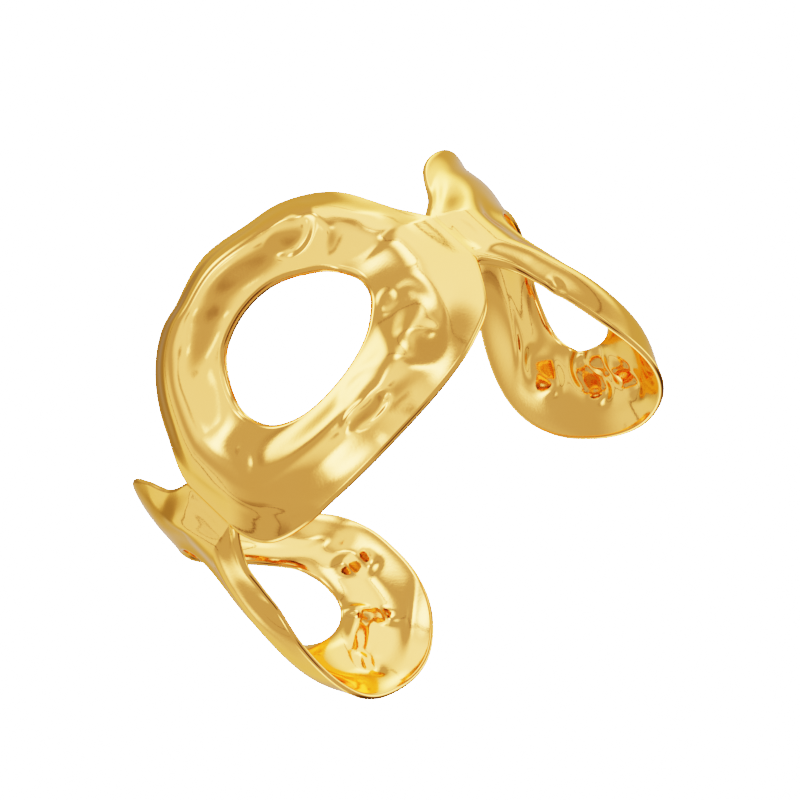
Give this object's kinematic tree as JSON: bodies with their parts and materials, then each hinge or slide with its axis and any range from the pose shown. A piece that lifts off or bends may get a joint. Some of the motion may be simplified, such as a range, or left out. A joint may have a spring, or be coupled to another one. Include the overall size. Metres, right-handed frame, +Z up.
{
  "type": "cuff bracelet",
  "caption": "Open cuff bracelet of hammered oval rings in a row, fused at the necks and bent round the wrist, in polished gold-plated brass.",
  "frame": {"origin": "middle of the cuff's box in X and Y, level with its lowest rim", "axes": "+Z up, along the wrist as the cuff lies on its side; +X to the right of the middle ring as seen from outside; the middle ring faces -Y and the back gap is at +Y"},
  "size_m": [0.0652, 0.053, 0.0448],
  "materials": {
    "polished_gold": "mirror-polished gold plate over hammered brass, with fine polishing grain"
  },
  "bodies": {
    "root": {"cuff": "polished_gold"}
  },
  "joints": []
}
